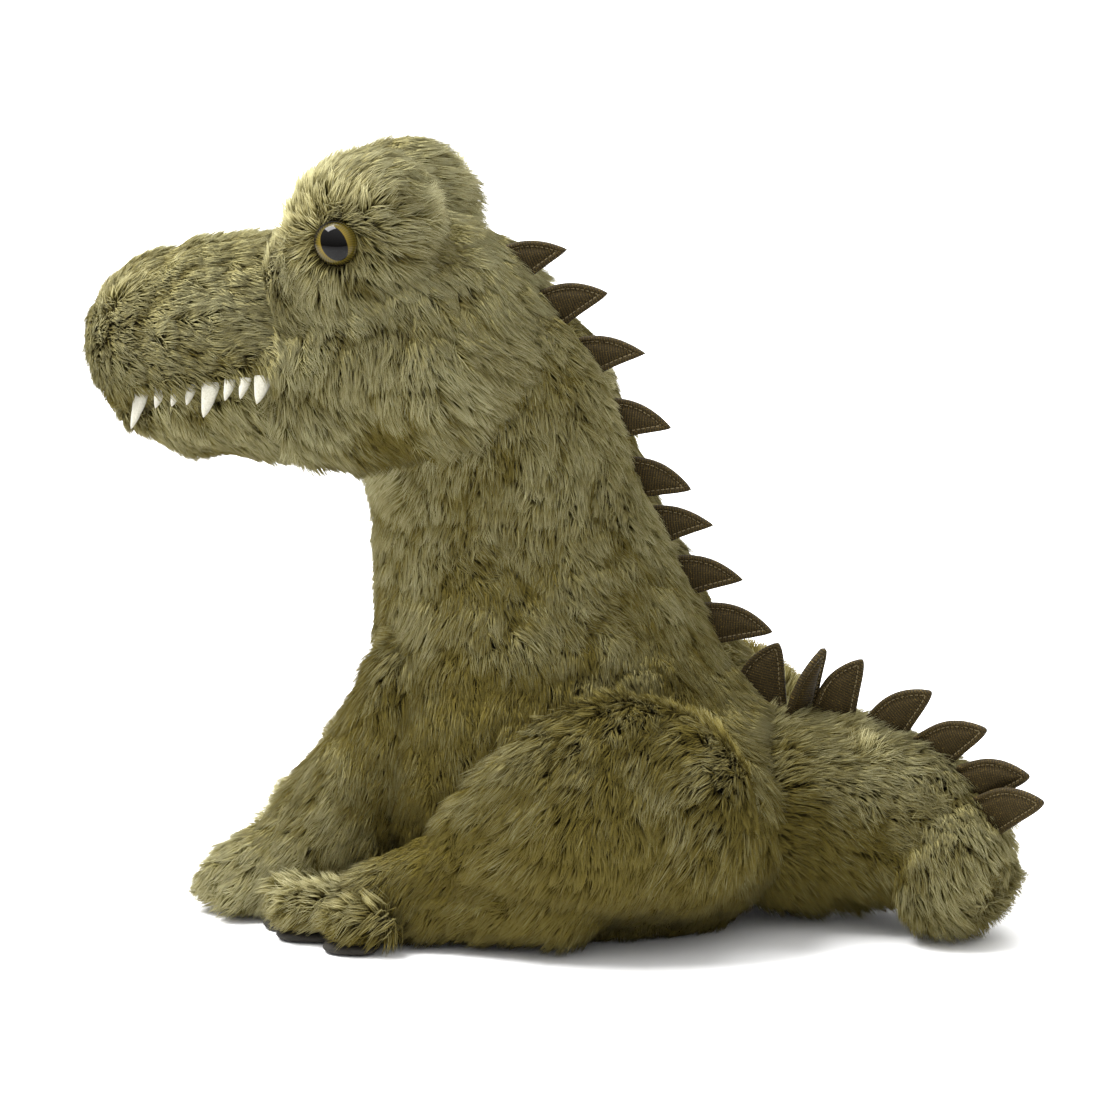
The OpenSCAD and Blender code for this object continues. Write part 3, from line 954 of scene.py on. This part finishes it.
for part_name, node in FILLINGS.items():
    wad = meshed(f"{part_name}_wadding", part_name, without_hardware(FORMS[part_name]), 6.0)
    dress(wad, FIBRE)
    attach(wad, BODY_OF[node])
    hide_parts(node)


# ---- flat pieces: spikes and teeth ----
def plate_axes(node, outward):
    """Tip, length direction and face normal of a flat CAD leaf or point. Its length lies nearest outward."""
    mesh = frame["nodes"][node].data
    co, tri = points_of(mesh), triangles_of(mesh)
    cross = np.cross(co[tri[:, 1]] - co[tri[:, 0]], co[tri[:, 2]] - co[tri[:, 0]])
    normal = unit(cross)
    area = np.linalg.norm(cross, axis=1)
    flat = max(range(len(tri)), key=lambda i: (area * (np.abs(normal @ normal[i]) > 0.999)).sum())
    face = normal[flat]
    on_face = np.abs(normal @ face) > 0.999
    centre = (co[tri[on_face]].mean(1) * area[on_face][:, None]).sum(0) / area[on_face].sum()
    reach = (co - centre) @ np.array(outward, float)
    tip = co[reach > reach.max() - 0.3].mean(0)
    tip = tip - face * ((tip - centre) @ face)
    return tip, unit(tip - centre), face


LEAF_LENGTH = 32.0
LEAF_WIDTH, BROAD_LEAF_WIDTH = 19.0, 23.0
RIM = 1.35  # radius of a leaf's rolled rim
GROOVE = 2.2  # from a leaf's edge to the groove of its topstitching
GROOVE_HALF = 0.65  # half the leaf's thickness in the groove


def leaf_outline(t, width, blunt):
    """Distances of a leaf's two edges from its centre line, at a share t of its length from root to tip."""
    half = width / 2 * (1 - t ** (1.75 + blunt)) ** (0.9 - 0.3 * blunt)
    belly = 0.12 * width * np.sin(math.pi * t**1.15)
    return half + belly, -half + belly


# Spikes that stand a little off their place in the CAD, as they do in the photo.
SPIKE_MOVED = {1: (0, 0, -3.5), 2: (0, 0, -2), 9: (4.5, 0, 0), 15: (-2, 0, 3.5)}


def leaf(node):
    """A puffed two-layer leaf with a rolled rim and a groove where it is topstitched."""
    tip, along, face = plate_axes(node, (0.8, 0, 0.6))
    up = np.cross(along, face)
    up = up if up[2] > 0 or (abs(up[2]) < 0.2 and up[0] < 0) else -up
    number = SPIKE_NAMES.index(node) + 1
    width = BROAD_LEAF_WIDTH if number == 9 else LEAF_WIDTH
    tip = tip + along * (3.5 if number > 9 else 0.0) + np.array(SPIKE_MOVED.get(number, (0, 0, 0)), float)
    blunt = 0.5 if number > 8 else 0.12 * (number % 3)
    rows, columns = 30, 25
    t = (np.linspace(0, 1, rows) ** 0.85)[:, None]
    above, below = leaf_outline(t, width, blunt)
    v = np.sin(np.linspace(-1, 1, columns) * math.pi / 2)[None, :]
    y = (above + below) / 2 + v * (above - below) / 2
    x = t * LEAF_LENGTH + 0 * v
    rim = np.concatenate([np.stack([x[:, 0], y[:, 0]], 1), np.stack([x[:, -1], y[:, -1]], 1)])
    flat = np.stack([x, y], axis=-1).reshape(-1, 2)
    inward = np.min(np.linalg.norm(flat[:, None] - rim[None], axis=2), axis=1).reshape(rows, columns)
    rolled = 1.5 * np.sqrt(np.clip(1 - ((inward - RIM) / RIM) ** 2, 0, 1))
    rise = np.clip((inward - GROOVE) / 3.5, 0, 1)
    puffed = GROOVE_HALF + 1.15 * rise * rise * (3 - 2 * rise)
    half = np.where(inward < GROOVE, np.maximum(rolled, np.minimum(GROOVE_HALF, inward)), puffed)
    wrinkle = noise(np.stack([x, y, 0 * x + number * 40], -1).reshape(-1, 3), 3.5, 5).reshape(half.shape)
    half = half + 0.12 * wrinkle * (inward > 0.2)
    root = tip - along * LEAF_LENGTH
    base = root + x[..., None] * along + y[..., None] * up
    front, back = base + half[..., None] * face, base - half[..., None] * face
    vertices = np.concatenate([front.reshape(-1, 3), back.reshape(-1, 3)])
    faces = []
    n = rows * columns
    for i in range(rows - 1):
        for j in range(columns - 1):
            a = i * columns + j
            faces.append((a, a + 1, a + columns + 1, a + columns))
            faces.append((n + a, n + a + columns, n + a + columns + 1, n + a + 1))
    for j in range(columns - 1):
        faces.append((j, n + j, n + j + 1, j + 1))
    mesh = mesh_of(node + "_leaf", vertices, faces)
    unwrap(mesh, np.concatenate([flat, flat]) / 44 + (0.1, 0.5))
    tidy(mesh)
    piece = new_object(node + "_leaf", mesh)
    dress(piece, SPIKE_CLOTH)
    return piece, stitches(node, root, along, up, face, width, blunt)


STITCH_PITCH = 2.1
STITCH_HALF = 0.65  # half the length of a stitch between its holes


def stitches(node, root, along, up, face, width, blunt):
    """A row of short threads just inside the rim, on both faces of a leaf."""
    t = np.linspace(0.16, 0.955, 400)
    above, below = leaf_outline(t, width, blunt)
    x = t * LEAF_LENGTH
    line = np.concatenate([np.stack([x, above], 1), np.stack([x, below], 1)[::-1]])
    way = unit(np.gradient(line, axis=0))
    inner = line + np.stack([way[:, 1], -way[:, 0]], 1) * 2.3
    keep = np.concatenate([[True], np.linalg.norm(np.diff(inner, axis=0), axis=1) < 2])
    inner = inner[keep]
    run = np.concatenate([[0], np.cumsum(np.linalg.norm(np.diff(inner, axis=0), axis=1))])
    places = np.arange(0.8, run[-1] - 0.8, STITCH_PITCH)
    vertices, faces = [], []
    for s in places:
        a, b = (np.array([np.interp(s + k * STITCH_HALF, run, inner[:, i]) for i in (0, 1)]) for k in (-1, 1))
        for layer in (-1, 1):
            ends = [root + q[0] * along + q[1] * up + layer * 0.72 * face for q in (a, b)]
            centre, way = (ends[0] + ends[1]) / 2, unit(ends[1] - ends[0])
            beside = np.cross(way, face)
            ring = []
            for u in (-1, -0.6, 0.6, 1):
                r = 0.1 if abs(u) == 1 else 0.26
                lift = 0.0 if abs(u) == 1 else 0.16
                for k in range(6):
                    g = k * math.pi / 3
                    ring.append(centre + way * u * 0.8 + beside * math.cos(g) * r
                                + face * (math.sin(g) * r + layer * lift))
            start = len(vertices)
            vertices += ring
            faces += rings(4, 6, start)
            faces.append(tuple(start + k for k in reversed(range(6))))
            faces.append(tuple(start + 18 + k for k in range(6)))
    mesh = mesh_of(node + "_stitches", vertices, faces)
    tidy(mesh)
    piece = new_object(node + "_stitches", mesh)
    dress(piece, THREAD)
    return piece


for node in SPIKE_NAMES:
    blade, seam = leaf(node)
    for made in (blade, seam):
        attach(made, BODY_OF[node])
    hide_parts(node)


TOOTH_DROP = 2.2  # the teeth show that much lower in the photo than in the CAD
TOOTH_TUCK = 2.8  # how far a tooth's root is drawn under the lip


def tooth(node):
    """A curved felt point, thick at the gum and soft-edged."""
    tip, along, face = plate_axes(node, (0, 0, -1))
    face = face if face[1] * tip[1] > 0 else -face
    tip = tip - face * 0.8 - np.array([0, 0, TOOTH_DROP])
    lo, hi = corners(node)
    length = hi[2] - lo[2]
    across = np.cross(along, face)
    across = across if across[0] < 0 else -across
    width = (hi - lo)[:2].max()
    root = tip - along * length - face * TOOTH_TUCK
    along = unit(tip - root)
    rows, sides = 14, 16
    vertices = []
    for i in range(rows):
        t = i / (rows - 1)
        half = width / 2 * (1 - t**1.5) ** 0.75 + 0.12
        thick = 1.7 * (1 - t**2.2) ** 0.7 + 0.12
        centre = root + along * length * t + across * 0.10 * length * t * t
        for k in range(sides):
            a = 2 * math.pi * k / sides
            vertices.append(centre + across * math.cos(a) * half + face * math.sin(a) * thick)
    faces = rings(rows, sides)
    faces.append(tuple(reversed(range(sides))))
    faces.append(tuple((rows - 1) * sides + k for k in range(sides)))
    place = np.array(vertices)
    place += noise_vector(place, 1.6, 9) * 0.10
    mesh = mesh_of(node + "_felt", place, faces)
    tidy(mesh)
    piece = new_object(node + "_felt", mesh)
    dress(piece, FELT)
    return piece


for node in TOOTH_NAMES:
    made = tooth(node)
    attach(made, BODY_OF[node])
    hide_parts(node)


# ---- eyes ----
DOME_RADIUS, DOME_HEIGHT = 9.0, 6.4
EYE_SQUARE = 20.0  # width of the square that the iris is painted in


def eye(side):
    """The glossy dome of a safety eye, with a rolled rim at its edge."""
    node = f"eye_dome_{side}"
    centre, inner = middle(node), middle(f"eye_washer_{side}")
    out = unit(centre - inner)
    up = unit(np.array([-0.25, 0, 1.0]) - out * (np.array([-0.25, 0, 1.0]) @ out))
    across = np.cross(up, out) * -SIDES[side]
    base = inner + out * ((centre - inner) @ out - DOME_HEIGHT / 2)
    profile = [(0.0, DOME_HEIGHT)]
    profile += [(DOME_RADIUS * math.sin(a), DOME_HEIGHT * math.cos(a) ** 0.9)
                for a in np.linspace(0.06, 1.5, 22)]
    profile += [(9.1, 0.3), (9.35, 0.0), (9.4, -0.6), (9.1, -1.2), (0.0, -1.2)]
    sides = 64
    vertices = []
    for r, z in profile:
        for k in range(sides):
            a = 2 * math.pi * k / sides
            vertices.append((r * math.cos(a), r * math.sin(a), z))
    local = np.array(vertices)
    mesh = mesh_of(f"eye_{side}", base + local @ np.stack([across, up, out]), rings(len(profile), sides))
    unwrap(mesh, local[:, :2] / EYE_SQUARE + 0.5)
    tidy(mesh)
    piece = new_object(f"eye_{side}", mesh)
    dress(piece, EYE)
    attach(piece, BODY_OF[node])
    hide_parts(node)


for side_name in SIDES:
    eye(side_name)


# ---- dark pads under the hind feet ----
def sole(side):
    """A dark pad under the front of the foot, cut to the outline of the foot and a little smaller."""
    node = f"sole_pad_{side}"
    lo, hi = corners(node)
    foot = FORMS[f"hind_leg_{side}"]

    def pad(p):
        outline = smooth_max(foot(p * (1, 1, 0) + (0, 0, 9), 2.0), p[:, 0] - hi[0] + 12, 6)
        return smooth_max(outline, np.abs(p[:, 2] - 2.0) - 1.8, 3)
    vertices, quads = net(pad, lo - 16, hi + 16, 1.2)
    piece = new_object(f"sole_{side}", mesh_of(f"sole_{side}", vertices, quads.tolist()))
    dress(piece, DARK_FOOT_PAD)
    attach(piece, BODY_OF[node])
    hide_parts(node)


for side_name in SIDES:
    sole(side_name)

# ---- the CAD pieces inside keep their shapes ----
INNER = {"bean_pouch": POUCH, "bean_pellets": PELLETS}
for side_name in SIDES:
    INNER[f"eye_shank_{side_name}"] = BLACK
    INNER[f"eye_washer_{side_name}"] = WASHER
for node, mat in INNER.items():
    dress(frame["nodes"][node], mat)


# ---- stage, light and camera ----
def stage_floor():
    """A pale floor that sweeps up behind the toy."""
    width, near, far, radius, height = 6.0, -3.0, 1.6, 0.8, 3.0
    profile = [(near, 0.0), (far, 0.0)]
    profile += [(far + radius * math.sin(a), radius - radius * math.cos(a))
                for a in np.linspace(0.1, math.pi / 2, 14)]
    profile.append((far + radius, height))
    vertices, faces = [], []
    for y, z in profile:
        vertices += [(-width / 2, y, z - 0.0002), (width / 2, y, z - 0.0002)]
    for i in range(len(profile) - 1):
        faces.append((2 * i, 2 * i + 1, 2 * i + 3, 2 * i + 2))
    mesh = bpy.data.meshes.new("stage_floor")
    mesh.from_pydata(vertices, [], faces)
    mesh.shade_smooth()
    piece = new_object("stage_floor", mesh)
    mat, g, shader = material("stage")
    surface(g, shader, (0.93, 0.93, 0.93), 0.9)
    dress(piece, mat)


def area_light(name, place, target, size, power):
    lamp = bpy.data.lights.new(name, "AREA")
    lamp.size = size
    lamp.energy = power
    piece = new_object(name, lamp)
    piece.location = place
    piece.rotation_euler = (Vector(target) - Vector(place)).to_track_quat("-Z", "Y").to_euler()


def set_camera(azimuth, elevation, distance, target, lens):
    a, e = math.radians(azimuth), math.radians(elevation)
    away = Vector((math.sin(a) * math.cos(e), -math.cos(a) * math.cos(e), math.sin(e)))
    lens_data = bpy.data.cameras.new("camera")
    lens_data.lens = lens
    lens_data.sensor_width = 36
    piece = new_object("camera", lens_data)
    piece.location = Vector(target) + away * distance
    piece.rotation_euler = (-away).to_track_quat("-Z", "Y").to_euler()
    bpy.context.scene.camera = piece


def set_world(side, top):
    """White light all round, stronger from above."""
    world = bpy.data.worlds.new("studio")
    g = Graph(world)
    split = g.nodes.new("ShaderNodeSeparateXYZ")
    g.feed(split.inputs[0], g.nodes.new("ShaderNodeTexCoord").outputs["Generated"])
    height = g.maths("MAXIMUM", split.outputs[2], 0.0)
    rise = g.maths("MULTIPLY", height, top - side)
    background = g.nodes["Background"]
    g.feed(background.inputs["Color"], (1, 1, 1))
    g.feed(background.inputs["Strength"], g.maths("ADD", rise, side))
    bpy.context.scene.world = world


stage_floor()
set_world(0.29, 1.60)
area_light("key", (-0.9, -0.3, 1.8), (-0.02, 0, 0.15), 1.0, 72)
area_light("backdrop", (0.0, 0.9, 1.9), (0, 2.2, 0.3), 1.6, 60)
set_camera(13, 11, 2.1, (0.0, 0.0, 0.146), 161)
bpy.context.scene.view_settings.view_transform = "Standard"

print("tufts", tuft_count)
